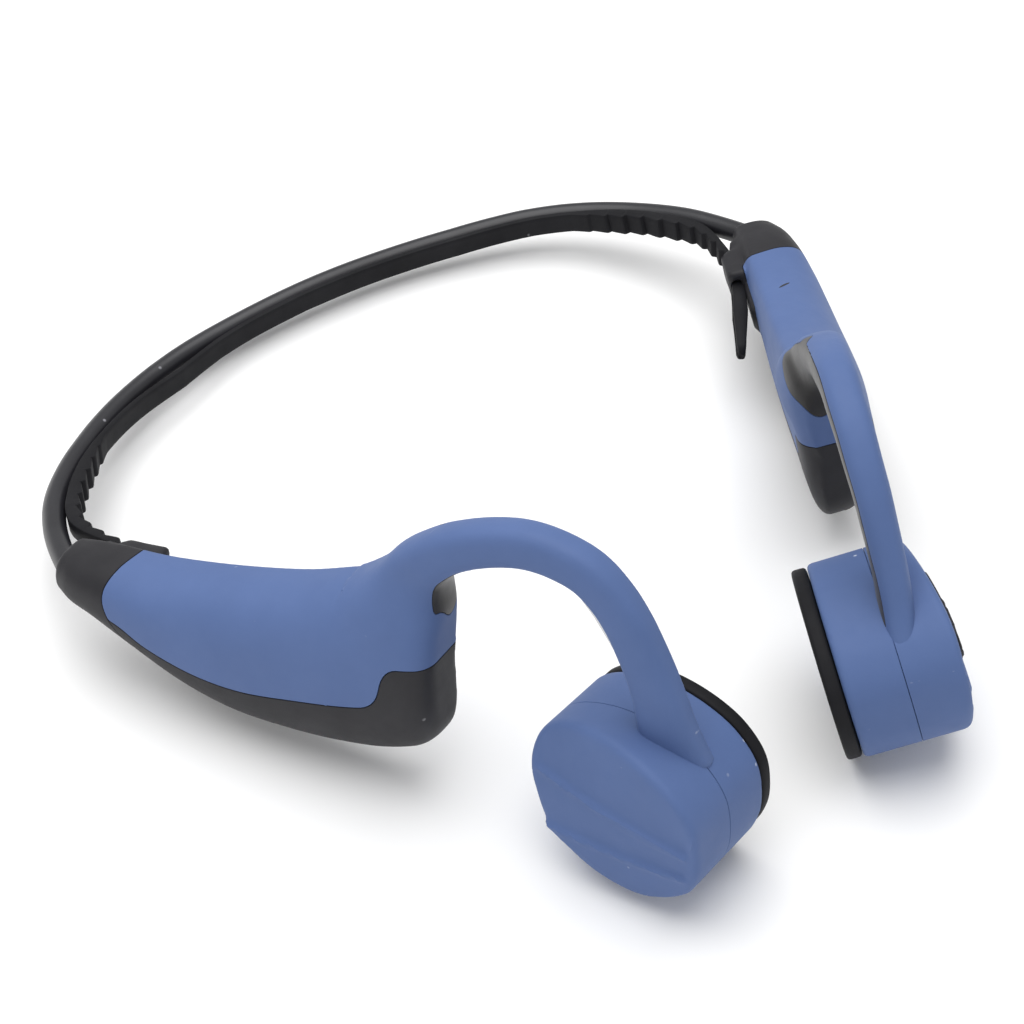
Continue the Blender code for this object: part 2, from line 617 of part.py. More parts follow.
def main():
    clear_scene()
    forward = Vector((-math.sin(TOE_IN), -math.cos(TOE_IN), 0))
    level = Vector((math.cos(TOE_IN), -math.sin(TOE_IN), 0))
    up = Vector((0, 0, math.cos(LEAN))) - level * math.sin(LEAN)
    add_frame("housing", COLLAR, forward, up)
    outward = POD_OUTWARD.normalized()
    pod_up = Vector((0, 0, 1)) - outward * outward.z
    add_frame("pod", POD, outward.cross(pod_up), pod_up)
    bpy.context.view_layer.update()
    add_neckband()
    add_strap()
    shell, lower = add_housing()
    add_collar(shell)
    add_hook()
    add_pods()
    add_multifunction_button()
    add_transducer()
    add_electronics(lower)


main()
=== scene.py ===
"""Bone conduction headphones: the looks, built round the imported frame.

Lengths inside the side frames are in millimetres: station forward, outward, up. Everything placed is in metres.
"""
import json
import math

import bpy
import numpy as np
from mathutils import Matrix, Vector


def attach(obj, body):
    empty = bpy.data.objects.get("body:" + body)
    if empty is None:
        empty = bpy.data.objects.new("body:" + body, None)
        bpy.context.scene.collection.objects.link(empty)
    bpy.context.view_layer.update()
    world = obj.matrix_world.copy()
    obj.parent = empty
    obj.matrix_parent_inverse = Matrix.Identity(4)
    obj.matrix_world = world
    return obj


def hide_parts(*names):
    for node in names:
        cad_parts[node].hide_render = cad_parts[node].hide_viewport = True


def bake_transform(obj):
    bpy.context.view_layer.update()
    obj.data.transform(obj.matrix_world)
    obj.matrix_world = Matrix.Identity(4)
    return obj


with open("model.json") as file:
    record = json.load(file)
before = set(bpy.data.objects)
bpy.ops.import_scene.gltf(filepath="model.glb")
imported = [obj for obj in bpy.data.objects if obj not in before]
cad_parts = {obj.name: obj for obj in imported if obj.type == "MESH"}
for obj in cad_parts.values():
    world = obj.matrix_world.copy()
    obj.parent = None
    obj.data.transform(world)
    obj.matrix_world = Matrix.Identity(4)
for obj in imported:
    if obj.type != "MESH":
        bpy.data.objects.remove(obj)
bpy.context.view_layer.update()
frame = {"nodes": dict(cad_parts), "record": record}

MM = 0.001
nodes = frame["nodes"]

# ---- frames of the left module and the left pod (columns: forward, outward, up; then the origin, mm) ----

TOE_IN, LEAN = math.radians(27.85), math.radians(12.0)
COLLAR = np.array([65.0, 26.83, 13.88])
FORWARD = np.array([-math.sin(TOE_IN), -math.cos(TOE_IN), 0.0])
LEVEL = np.array([math.cos(TOE_IN), -math.sin(TOE_IN), 0.0])
RISE = np.array([0, 0, math.cos(LEAN)]) - LEVEL * math.sin(LEAN)
SIDE_AXES = np.array([FORWARD, np.cross(RISE, FORWARD), RISE])


def upright_axes(out):
    """Axes (forward, outward, up) of a pod whose outer face looks along out."""
    out = np.array(out) / np.linalg.norm(out)
    rise = np.array([0, 0, 1.0]) - out * out[2]
    rise /= np.linalg.norm(rise)
    return np.array([np.cross(out, rise), out, rise])


# Each pod's frame starts at the middle of its outer face. The left pod is turned a little, as its hook is flexible.
POD_DEPTH, POD_PARTING = 16.8, 8.4
RIGHT_POD_AXES = upright_axes([0.94, -0.31, 0.15])
RIGHT_POD_PLACE = np.array([28.2, -59.67, 14.18]) + 1.9 * RIGHT_POD_AXES[1]
LEFT_POD_AXES = upright_axes([0.850, -0.455, 0.2664])
LEFT_POD_PLACE = np.array([14.38, -55.57, 12.30]) + POD_DEPTH * LEFT_POD_AXES[1]
PODS = {"left": (LEFT_POD_AXES, LEFT_POD_PLACE, np.array([1.03, 1, 1.03])),
        "right": (RIGHT_POD_AXES, RIGHT_POD_PLACE, np.array([1.035, 1, 1.025]))}


def side_world(points):
    """Left module's frame (mm) to the row frame (mm)."""
    return COLLAR + np.asarray(points) @ SIDE_AXES


def pod_world(points, side):
    """A pod's frame (mm) to the row frame (mm), before the right pod is mirrored."""
    axes, place, spread = PODS[side]
    return place + np.asarray(points) * spread @ axes


def world_side(points):
    """The row frame (mm) to the left module's frame (mm)."""
    return (np.asarray(points) - COLLAR) @ SIDE_AXES.T


# ---- curves ----

def hermite(rows, at):
    """Values of (place, value ...) rows at many places, on a smooth curve through every row."""
    rows = np.asarray(rows, float)
    places, values = rows[:, 0], rows[:, 1:]
    slopes = np.gradient(values, places, axis=0)
    at = np.clip(at, places[0], places[-1])
    k = np.clip(np.searchsorted(places, at) - 1, 0, len(places) - 2)
    span = (places[k + 1] - places[k])[:, None]
    t = ((at - places[k]) / span[:, 0])[:, None]
    return ((2 * t**3 - 3 * t**2 + 1) * values[k] + (t**3 - 2 * t**2 + t) * span * slopes[k]
            + (3 * t**2 - 2 * t**3) * values[k + 1] + (t**3 - t**2) * span * slopes[k + 1])


def even_curve(points, count):
    """Evenly spread points on a smooth curve through the given ones, and the length up to each."""
    points = np.asarray(points, float)
    rows = np.c_[np.arange(len(points)), points]
    dense = hermite(rows, np.linspace(0, len(points) - 1, 40 * len(points)))
    lengths = np.r_[0, np.cumsum(np.linalg.norm(np.diff(dense, axis=0), axis=1))]
    wanted = np.linspace(0, lengths[-1], count)
    return np.stack([np.interp(wanted, lengths, dense[:, i]) for i in range(dense.shape[1])], -1), wanted


def directions(line):
    step = np.gradient(line, axis=0)
    return step / np.linalg.norm(step, axis=1)[:, None]


# ---- implicit shapes, sampled on a grid and meshed ----

def smooth_max(a, b, k):
    """The larger of two fields, with the crease between them rounded over about k."""
    h = np.clip(0.5 + 0.5 * (a - b) / k, 0, 1)
    return b * (1 - h) + a * h + k * h * (1 - h)


def smooth_min(a, b, k):
    return -smooth_max(-a, -b, k)


def slope_of(field, points, step=0.02):
    """Gradient of a field at points, by central differences."""
    slope = np.empty_like(points)
    for axis in range(3):
        shift = np.zeros(3)
        shift[axis] = step
        slope[:, axis] = (field(points + shift) - field(points - shift)) / (2 * step)
    return slope


def surface_net(field, low, high, cell):
    """Quads over the zero surface of a field (negative inside), then moved on to it exactly."""
    axes = [np.arange(a, b + cell, cell) for a, b in zip(low, high)]
    shape = tuple(len(a) for a in axes)
    values = np.empty(shape)
    for i, x in enumerate(axes[0]):
        y, z = np.meshgrid(axes[1], axes[2], indexing="ij")
        plane = np.stack([np.full(y.size, x), y.ravel(), z.ravel()], -1)
        values[i] = field(plane).reshape(y.shape)
    inside = values < 0
    cells = tuple(n - 1 for n in shape)
    total, count = np.zeros(cells + (3,)), np.zeros(cells)
    crossings = []
    for axis in range(3):
        head = [slice(None)] * 3
        tail = [slice(None)] * 3
        head[axis], tail[axis] = slice(0, -1), slice(1, None)
        a, b = values[tuple(head)], values[tuple(tail)]
        crossed = inside[tuple(head)] != inside[tuple(tail)]
        share = np.where(crossed, a / np.where(crossed, a - b, 1), 0)
        crossings.append(crossed)
        others = [i for i in range(3) if i != axis]
        for du in (0, 1):
            for dv in (0, 1):
                cut = [slice(None)] * 3
                cut[others[0]] = slice(du, du + cells[others[0]])
                cut[others[1]] = slice(dv, dv + cells[others[1]])
                hit = crossed[tuple(cut)]
                total[..., axis] += hit * share[tuple(cut)]
                total[..., others[0]] += hit * du
                total[..., others[1]] += hit * dv
                count += hit
    used = count > 0
    index = -np.ones(cells, int)
    index[used] = np.arange(used.sum())
    base = np.argwhere(used)
    points = np.array(low) + (base + total[used] / count[used][:, None]) * cell
    quads = []
    for axis in range(3):
        u, v = [(1, 2), (2, 0), (0, 1)][axis]
        where = np.argwhere(crossings[axis])
        where = where[(where[:, u] > 0) & (where[:, v] > 0) & (where[:, u] < cells[u]) & (where[:, v] < cells[v])]
        around = []
        for du, dv in ((-1, -1), (0, -1), (0, 0), (-1, 0)):
            at = where.copy()
            at[:, u] += du
            at[:, v] += dv
            around.append(index[tuple(at.T)])
        quad = np.stack(around, -1)
        flip = ~inside[tuple(where.T)]
        quad[flip] = quad[flip][:, ::-1]
        quads.append(quad)
    for _ in range(4):
        slope = slope_of(field, points)
        step = field(points)[:, None] * slope / np.maximum((slope**2).sum(1), 1e-6)[:, None]
        reach = np.linalg.norm(step, axis=1)[:, None]
        points -= step * np.minimum(1, 0.4 * cell / np.maximum(reach, 1e-9))
    return points, np.concatenate(quads)


def split_quads(quads):
    return np.concatenate([quads[:, [0, 1, 2]], quads[:, [0, 2, 3]]])


def cut(points, faces, value, field, cell, gap=0.12, lip=0.9):
    """The faces where value is negative, and where it is positive, each with a rolled edge along the cut."""
    points = points.copy()
    worth = value(points)
    slope = slope_of(value, points)
    normal = slope_of(field, points)
    normal /= np.linalg.norm(normal, axis=1)[:, None]
    slope -= normal * (slope * normal).sum(1)[:, None]
    size = np.maximum((slope**2).sum(1), 1e-4)
    near = np.abs(worth) / np.sqrt(size) < 0.3 * cell
    points[near] -= (worth / size)[near, None] * slope[near]
    worth[near] = 0
    sides = []
    for sign in (-1, 1):
        w = worth * sign
        keep, cache, new_points = [], {}, []

        def crossing(i, j):
            key = (min(i, j), max(i, j))
            if key not in cache:
                share = w[i] / (w[i] - w[j])
                cache[key] = len(points) + len(new_points)
                new_points.append(points[i] * (1 - share) + points[j] * share)
            return cache[key]

        signs = np.sign(w[faces])
        keep.extend(faces[(signs >= 0).all(1) & (signs > 0).any(1)].tolist())
        mixed = faces[(signs > 0).any(1) & (signs < 0).any(1)]
        for face in mixed:
            loop = []
            for i, j in zip(face, np.roll(face, -1)):
                if w[i] >= 0:
                    loop.append(int(i))
                if w[i] * w[j] < 0:
                    loop.append(crossing(int(i), int(j)))
            for k in range(1, len(loop) - 1):
                keep.append([loop[0], loop[k], loop[k + 1]])
        everything = np.array(list(points) + new_points)
        keep = np.array(keep)
        sides.append(rolled(everything, keep, value, field, sign, gap, lip))
    return sides


def rolled(points, faces, value, field, sign, gap, lip):
    """Compact a cut part, and turn its open edge inwards along the line value = 0."""
    used, faces = np.unique(faces, return_inverse=True)
    points, faces = points[used], faces.reshape(-1, 3)
    edges = np.concatenate([faces[:, [0, 1]], faces[:, [1, 2]], faces[:, [2, 0]]])
    forward = {(int(a), int(b)) for a, b in edges}
    rim = np.array([(a, b) for a, b in forward if (b, a) not in forward])
    if not len(rim):
        return points, faces
    ids = np.unique(rim)
    at = points[ids]
    on_line = np.abs(value(at)) < 0.02
    normal = slope_of(field, at)
    normal /= np.linalg.norm(normal, axis=1)[:, None]
    away = slope_of(value, at) * sign
    away -= normal * (away * normal).sum(1)[:, None]
    away /= np.maximum(np.linalg.norm(away, axis=1), 1e-6)[:, None]
    away[~on_line] = 0
    points = points.copy()
    rings = [at + away * gap, at + away * gap * 0.45 - normal * gap * 0.6, at + away * gap * 0.45 - normal * lip]
    points[ids] = rings[0]
    count = len(points)
    place = {int(v): k for k, v in enumerate(ids)}
    more = []
    for a, b in rim:
        ka, kb = place[int(a)], place[int(b)]
        rows = [(int(a), int(b))] + [(count + d * len(ids) + ka, count + d * len(ids) + kb) for d in range(2)]
        for (a0, b0), (a1, b1) in zip(rows, rows[1:]):
            more += [[b0, a0, a1], [b0, a1, b1]]
    return np.concatenate([points, *rings[1:]]), np.concatenate([faces, np.array(more)])


def superellipse(x, z, half_x, half_z, power):
    """About the distance from a rounded section of the given half sizes, negative inside."""
    a, b = np.abs(x) / half_x, np.abs(z) / half_z
    rho = np.maximum((a**power + b**power)**(1 / power), 1e-3)
    grade = rho**(1 - power) * np.hypot(a**(power - 1) / half_x, b**(power - 1) / half_z)
    return (rho - 1) / np.maximum(grade, 0.05)


# ---- objects ----

def piece(name, points, faces, material, body, smooth=40.0, replaces=()):
    """A mesh piece from points in the row frame (mm). Faces may be triangles, quads or longer."""
    mesh = bpy.data.meshes.new(name)
    mesh.from_pydata((np.asarray(points) * MM).tolist(), [], [list(map(int, f)) for f in faces])
    mesh.validate()
    mesh.materials.append(material)
    mesh.shade_smooth()
    mesh.set_sharp_from_angle(angle=math.radians(smooth))
    obj = bpy.data.objects.new(name, mesh)
    bpy.context.scene.collection.objects.link(obj)
    if isinstance(body, str):
        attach(obj, body)
    else:
        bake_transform(obj)
    if replaces:
        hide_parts(*replaces)
    return obj


def both_sides(name, points, faces, material, replaces=(), smooth=40.0, left=None):
    """The piece on the left, and its mirror image on the right. The left one may have points of its own."""
    points = np.asarray(points)
    flipped = points * np.array([-1, 1, 1])
    piece(f"{name}_left", points if left is None else left, faces, material, "left_side", smooth,
          [f"{r}_left" for r in replaces])
    piece(f"{name}_right", flipped, [list(f)[::-1] for f in faces], material, "right_side", smooth,
          [f"{r}_right" for r in replaces])


def tube_faces(rings, sides):
    """Faces of a bar closed at both ends, whose points go ring by ring."""
    faces = []
    for r in range(rings - 1):
        for i in range(sides):
            j = (i + 1) % sides
            faces.append([r * sides + i, r * sides + j, (r + 1) * sides + j, (r + 1) * sides + i])
    faces.append(list(range(sides))[::-1])
    faces.append([(rings - 1) * sides + i for i in range(sides)])
    return faces


def outward_faces(points, faces):
    """Turns the faces over if the closed shape they make is inside out."""
    volume = 0.0
    for f in faces:
        a = points[f[0]]
        for i in range(1, len(f) - 1):
            volume += np.dot(a, np.cross(points[f[i]], points[f[i + 1]]))
    return faces if volume > 0 else [list(f)[::-1] for f in faces]


# ---- materials ----

def new_material(name):
    material = bpy.data.materials.new(name)
    material.use_nodes = True
    tree = material.node_tree
    tree.nodes.clear()
    output = tree.nodes.new("ShaderNodeOutputMaterial")
    shader = tree.nodes.new("ShaderNodeBsdfPrincipled")
    tree.links.new(shader.outputs[0], output.inputs[0])
    return material, tree, shader


def noise(tree, coordinates, scale, detail=3.0, rough=0.6):
    node = tree.nodes.new("ShaderNodeTexNoise")
    node.inputs["Scale"].default_value = scale
    node.inputs["Detail"].default_value = detail
    node.inputs["Roughness"].default_value = rough
    tree.links.new(coordinates, node.inputs["Vector"])
    return node.outputs["Fac"]


def ramp(tree, value, stops):
    """A colour or grey by value: stops are (place, colour or grey)."""
    node = tree.nodes.new("ShaderNodeValToRGB")
    elements = node.color_ramp.elements
    while len(elements) < len(stops):
        elements.new(0.5)
    for element, (place, colour) in zip(elements, stops):
        element.position = place
        colour = colour if hasattr(colour, "__len__") else (colour,) * 3
        element.color = (*colour, 1.0)
    tree.links.new(value, node.inputs["Fac"])
    return node.outputs["Color"]


def mix(tree, factor, a, b, mode="MIX"):
    node = tree.nodes.new("ShaderNodeMix")
    node.data_type = "RGBA"
    node.blend_type = mode
    for socket, value in (("Factor", factor), ("A", a), ("B", b)):
        fits = [s for s in node.inputs if s.name == socket and (s.enabled if socket == "Factor" else s.type == "RGBA")]
        target = fits[0]
        if isinstance(value, bpy.types.NodeSocket):
            tree.links.new(value, target)
        elif socket == "Factor":
            target.default_value = value
        else:
            target.default_value = (*value, 1.0)
    return [s for s in node.outputs if s.type == "RGBA"][0]


CLOUD_SCALE, DUST_SCALE, SCUFF_SCALE = 90.0, 210.0, (140.0, 560.0, 900.0)


def moulded(name, colour, roughness, grain=0.05, grain_scale=2600.0, specks=0.0, scuffs=0.0, sheen=0.0,
            sheen_tint=(1, 1, 1), metallic=0.0, coat=0.0, vary=0.12, specular=0.25, speck_colour=(0.62, 0.66, 0.76)):
    """Moulded plastic or rubber: slight clouding, a fine grain, dust specks and short scuffs."""
    material, tree, shader = new_material(name)
    where = tree.nodes.new("ShaderNodeTexCoord").outputs["Object"]
    dark = tuple(c * (1 - vary) for c in colour)
    light = tuple(min(1, c * (1 + vary) + 0.002) for c in colour)
    base = ramp(tree, noise(tree, where, CLOUD_SCALE, 4.0), [(0.3, dark), (0.7, light)])
    if specks:
        cells = tree.nodes.new("ShaderNodeTexVoronoi")
        cells.inputs["Scale"].default_value = DUST_SCALE
        cells.inputs["Randomness"].default_value = 1.0
        tree.links.new(where, cells.inputs["Vector"])
        dot = ramp(tree, cells.outputs["Distance"], [(0.035, 1.0), (0.075, 0.0)])
        few = ramp(tree, noise(tree, where, 130.0, 2.0), [(0.60 - 0.05 * specks, 0.0), (0.64, 0.9)])
        mask = mix(tree, 1.0, dot, few, "MULTIPLY")
        base = mix(tree, mask, base, speck_colour)
    if scuffs:
        stretch = tree.nodes.new("ShaderNodeMapping")
        stretch.inputs["Scale"].default_value = SCUFF_SCALE
        stretch.inputs["Rotation"].default_value = (0.4, 0.7, 0.5)
        tree.links.new(where, stretch.inputs["Vector"])
        streak = ramp(tree, noise(tree, stretch.outputs[0], 1.0, 2.0), [(0.73, 0.0), (0.80, 1.0)])
        patch = ramp(tree, noise(tree, where, 75.0, 2.0), [(0.55, 0.0), (0.72, 0.55 * scuffs)])
        base = mix(tree, mix(tree, 1.0, streak, patch, "MULTIPLY"), base, speck_colour)
    tree.links.new(base, shader.inputs["Base Color"])
    uneven = ramp(tree, noise(tree, where, 260.0, 5.0), [(0.25, roughness * 0.9), (0.75, min(1, roughness * 1.1))])
    tree.links.new(uneven, shader.inputs["Roughness"])
    bump = tree.nodes.new("ShaderNodeBump")
    bump.inputs["Strength"].default_value = grain
    bump.inputs["Distance"].default_value = 0.0001
    tree.links.new(noise(tree, where, grain_scale, 2.0), bump.inputs["Height"])
    tree.links.new(bump.outputs[0], shader.inputs["Normal"])
    shader.inputs["Metallic"].default_value = metallic
    shader.inputs["Specular IOR Level"].default_value = specular
    shader.inputs["Sheen Weight"].default_value = sheen
    shader.inputs["Sheen Tint"].default_value = (*sheen_tint, 1.0)
    shader.inputs["Coat Weight"].default_value = coat
    shader.inputs["Coat Roughness"].default_value = 0.2
    return material


BLUE = moulded("blue_soft_touch", (0.084, 0.137, 0.304), 0.62, grain=0.10, specks=1.0, scuffs=0.8, sheen=0.03,
               sheen_tint=(0.75, 0.82, 1.0), vary=0.035)
BLACK = moulded("black_matte_plastic", (0.020, 0.0195, 0.023), 0.55, grain=0.12, specks=0.6, scuffs=0.3,
                vary=0.15, speck_colour=(0.35, 0.35, 0.37))
GLOSS = moulded("black_gloss_plastic", (0.012, 0.012, 0.014), 0.18, grain=0.02, specks=0.3, coat=0.4, vary=0.1)
TUBE = moulded("black_tube_rubber", (0.015, 0.015, 0.019), 0.38, grain=0.10, specks=0.3, specular=0.5, vary=0.15,
               speck_colour=(0.3, 0.3, 0.33))
RUBBER = moulded("black_rubber", (0.009, 0.009, 0.011), 0.62, grain=0.16, grain_scale=1900.0, specks=0.5,
                 specular=0.15, vary=0.2, speck_colour=(0.3, 0.3, 0.32))
LINER = moulded("dark_grey_liner", (0.026, 0.0245, 0.0245), 0.4, grain=0.10, specks=0.2, sheen=0.1, vary=0.12)
STEEL = moulded("spring_steel", (0.55, 0.55, 0.56), 0.32, grain=0.2, metallic=1.0, vary=0.08)
COPPER = moulded("copper_winding", (0.72, 0.35, 0.18), 0.35, grain=0.3, grain_scale=5000.0, metallic=1.0, vary=0.1)
MAGNET = moulded("plated_magnet", (0.62, 0.62, 0.64), 0.22, grain=0.05, metallic=1.0, vary=0.05)
BOARD = moulded("green_circuit_board", (0.03, 0.20, 0.09), 0.45, grain=0.2, grain_scale=900.0, vary=0.2)
FOIL = moulded("silver_battery_foil", (0.60, 0.61, 0.63), 0.35, grain=0.5, grain_scale=500.0, metallic=0.6, vary=0.06)

FINISHES = {"blue_soft_touch": BLUE, "black_matte_plastic": BLACK, "black_rubber": RUBBER, "spring_steel": STEEL,
            "copper_winding": COPPER, "plated_magnet": MAGNET, "green_circuit_board": BOARD,
            "silver_battery_foil": FOIL}
for entry in frame["record"]["subparts"]:
    mesh = nodes[entry["node"]].data
    mesh.materials.clear()
    mesh.materials.append(FINISHES[entry["material_slot"]])


# ---- the module: housing, collar with its strap loop, and ear hook ----

# Housing sections: station, bottom, top, half width towards the ear, half width outward.
STATIONS = [(-2.0, -2.7, 3.7, 2.2, 4.5), (1.6, -3.1, 4.1, 2.3, 5.3), (4.2, -3.7, 4.8, 2.3, 6.6),
            (8.8, -4.4, 5.8, 2.2, 7.8), (16.5, -6.9, 6.9, 2.2, 8.9), (25.0, -10.1, 8.8, 2.4, 9.5),
            (33.0, -11.6, 11.0, 2.6, 9.8), (42.0, -11.3, 14.0, 2.7, 10.0), (51.5, -10.1, 18.2, 2.7, 9.8),
            (58.2, -8.5, 20.4, 2.8, 9.2), (63.0, -6.2, 20.4, 2.8, 8.8), (68.0, -2.4, 20.4, 2.7, 8.6)]
station_table = np.linspace(-2.0, 68.0, 281)
station_values = hermite(STATIONS, station_table)

HOOK_ROUTE = [(57.2, 1.8, 16.7), (60.0, 2.6, 22.7), (64.4, 3.4, 27.7), (68.2, 3.5, 30.3), (72.5, 3.4, 32.2),
              (76.7, 3.4, 33.3), (81.1, 3.3, 33.2), (85.3, 3.3, 32.1), (88.8, 3.3, 29.5), (91.5, 3.4, 26.4),
              (93.6, 3.4, 23.0), (95.3, 3.4, 19.9), (97.0, 3.4, 16.2), (98.4, 3.2, 12.2), (100.5, 2.6, 7.0)]
HOOK_THICK = [(0.0, 4.6), (0.1, 4.3), (0.22, 3.6), (0.4, 3.4), (0.7, 3.5), (0.84, 3.9), (0.93, 4.5), (1.0, 5.0)]
HOOK_WIDE = [(0.0, 4.6), (0.2, 3.7), (0.35, 3.3), (0.6, 3.0), (1.0, 2.6)]
hook_line, hook_lengths = even_curve(HOOK_ROUTE, 110)
hook_tangent = directions(hook_line)
hook_across = np.array([0, 1.0, 0]) - hook_tangent * hook_tangent[:, 1:2]
hook_across /= np.linalg.norm(hook_across, axis=1)[:, None]
hook_away = -np.cross(hook_across, hook_tangent)
hook_fraction = np.linspace(0, 1, len(hook_line))
hook_thick = hermite(HOOK_THICK, hook_fraction)[:, 0]
hook_wide = hermite(HOOK_WIDE, hook_fraction)[:, 0]

HOUSING_POWER, HOUSING_FRONT, HOUSING_REAR = 2.6, 65.4, 1.3
HOOK_POWER = 2.7
GUIDE_END = 21.5
LOOP_TILT = 0.18
LOOP = dict(centre=(11.2, -3.8, 1.35), half=(3.8, 1.5, 2.95), slot=(0.75, 1.9))


def housing_field(p):
    s, t, w = p[:, 0], p[:, 1], p[:, 2]
    bottom, top, inner, outer = (np.interp(s, station_table, station_values[:, i]) for i in range(4))
    middle, high = (top + bottom) / 2, (top - bottom) / 2
    wide = np.where(t > 0, outer, inner)
    body = superellipse(t, w - middle, wide, high, HOUSING_POWER)
    body = smooth_max(body, s - HOUSING_FRONT + 0.06 * (w - 6), 4.0)
    return smooth_max(body, HOUSING_REAR - s - 0.04 * (t - 2), 0.8)


def at_length(values, length):
    return np.stack([np.interp(length, hook_lengths, values[:, i]) for i in range(3)], -1)


def hook_local(p):
    """Which share of the hook each point is by, and where across it, away from the ear, and past its ends."""
    nearest = np.empty(len(p), int)
    for start in range(0, len(p), 20000):
        part = p[start:start + 20000]
        distance = ((part[:, None, :] - hook_line[None, ::2, :])**2).sum(-1)
        nearest[start:start + 20000] = distance.argmin(1) * 2
    length = hook_lengths[nearest]
    for _ in range(4):
        ahead = ((p - at_length(hook_line, length)) * at_length(hook_tangent, length)).sum(1)
        length = np.clip(length + 0.8 * ahead, 0, hook_lengths[-1])
    d = p - at_length(hook_line, length)
    ahead = (d * at_length(hook_tangent, length)).sum(1)
    return (length / hook_lengths[-1], (d * at_length(hook_across, length)).sum(1),
            (d * at_length(hook_away, length)).sum(1), ahead)


def hook_field(p):
    place, across, away, ahead = hook_local(p)
    wide = np.interp(place, hook_fraction, hook_wide)
    thick = np.interp(place, hook_fraction, hook_thick)
    body = superellipse(across, away, wide, thick, HOOK_POWER)
    return smooth_max(body, np.abs(ahead) - 0.4, 1.5)


def rounded_box(p, centre, half, radius):
    q = np.abs(p - np.array(centre)) - (np.array(half) - radius)
    return np.linalg.norm(np.maximum(q, 0), axis=1) + np.minimum(q.max(1), 0) - radius


def module_field(p):
    field = housing_field(p)
    loop_zone = p[:, 0] < 25
    hook_zone = p[:, 0] > 50
    if hook_zone.any():
        field[hook_zone] = smooth_min(field[hook_zone], hook_field(p[hook_zone]), 4.5)
    if loop_zone.any():
        q = p[loop_zone]
        tilted = q - np.c_[np.zeros(len(q)), np.zeros(len(q)), LOOP_TILT * (q[:, 0] - LOOP["centre"][0])]
        loop = rounded_box(tilted, LOOP["centre"], LOOP["half"], 0.9)
        root = rounded_box(q, (7.5, -2.6, 1.0), (3.0, 1.8, 2.5), 1.0)
        guide = rounded_box(q, (15.0, -2.2, -0.2), (GUIDE_END - 15.0, 0.75, 2.3), 0.5)
        joined = smooth_min(field[loop_zone], smooth_min(smooth_min(loop, root, 1.5), guide, 0.6), 1.6)
        slot = rounded_box(q, (9.0, LOOP["centre"][1] - 0.1, LOOP["centre"][2]), (14.0, *LOOP["slot"]), 0.4)
        field[loop_zone] = smooth_max(joined, -slot, 0.5)
    return field


def polyline_side(s, w, line):
    """Signed distance from a line of (station, up) points, positive on its left, which is above it."""
    line = np.asarray(line, float)
    best, sign = np.full(len(s), 1e9), np.ones(len(s))
    for (x0, y0), (x1, y1) in zip(line, line[1:]):
        dx, dy = x1 - x0, y1 - y0
        u = np.clip(((s - x0) * dx + (w - y0) * dy) / (dx * dx + dy * dy), 0, 1)
        gap = np.hypot(s - x0 - u * dx, w - y0 - u * dy)
        turn = dx * (w - y0) - dy * (s - x0)
        closer = gap < best - 1e-9
        best = np.where(closer, gap, best)
        sign = np.where(closer, np.sign(turn), sign)
    return best * sign


PARTING = even_curve([(-5.0, -0.6), (9.6, -0.6), (14.9, -1.0), (20.1, -2.8), (28.3, -3.9), (36.4, -3.4),
                      (46.0, -1.0), (54.4, 1.2), (56.9, 2.3), (58.2, 4.2), (58.9, 7.6), (60.0, 9.4), (61.8, 10.1),
                      (64.6, 10.5), (72.0, 11.2)], 180)[0]


def above_parting(p):
    return np.where(p[:, 0] > 70, 9.0, polyline_side(p[:, 0], p[:, 2], PARTING))


COLLAR_END = 11.9


def beyond_collar(p):
    """Positive in front of the slanted, curved line where the black collar ends."""
    s, t, w = p[:, 0], p[:, 1], p[:, 2]
    bow = np.minimum(0.085 * (w - 3.2)**2, 8)
    slant = 0.10 * np.maximum(0, 4 - t) * np.clip((w + 2) / 6, 0, 1)
    front = s - (COLLAR_END + bow + slant)
    return smooth_min(front, smooth_max(t + 2.35, s - GUIDE_END - 1.0, 0.6), 0.8)


# How far the liner climbs the hook's ear side, by share of the hook, in half thicknesses.
LINER_CLIMB = [(0.0, 0.8), (0.1, 2.6), (0.25, 2.7), (0.5, 2.0), (0.8, 1.9), (0.92, 2.4), (1.0, 2.6)]
LEAF_CENTRE, LEAF_HALF, LEAF_REAR, LEAF_FRONT = (1.3, 24.0), (3.0, 7.6), 61.6, 70


def outside_liner(p):
    """Negative on the dark strip along the ear side of the hook, which widens to a leaf at its root."""
    place, across, away, _ = hook_local(p)
    wide = np.interp(place, hook_fraction, hook_wide)
    thick = np.interp(place, hook_fraction, hook_thick)
    root = np.clip(1 - place / 0.26, 0, 1)
    side = np.clip(-across / wide, 0, 1)
    climb = side * side * thick * np.interp(place, *zip(*LINER_CLIMB))
    strip = smooth_max(away + thick - 0.9 - 1.6 * root**1.5 - climb, across - (wide - 1.6), 0.5)
    s, t, w = p[:, 0], p[:, 1], p[:, 2]
    leaf = (np.hypot((t - LEAF_CENTRE[0]) / LEAF_HALF[0], (w - LEAF_CENTRE[1]) / LEAF_HALF[1]) - 1) * LEAF_HALF[0]
    leaf = smooth_max(smooth_max(leaf, LEAF_REAR - s + 1.2 * np.maximum(0, t - 1), 0.6), s - LEAF_FRONT, 0.5)
    return smooth_min(smooth_max(strip, 3.0 - 40 * place, 0.5), leaf, 1.0)


FOOT_FROM, FOOT_SHIFT = 0.76, (3.0, 0.6, 0.9)


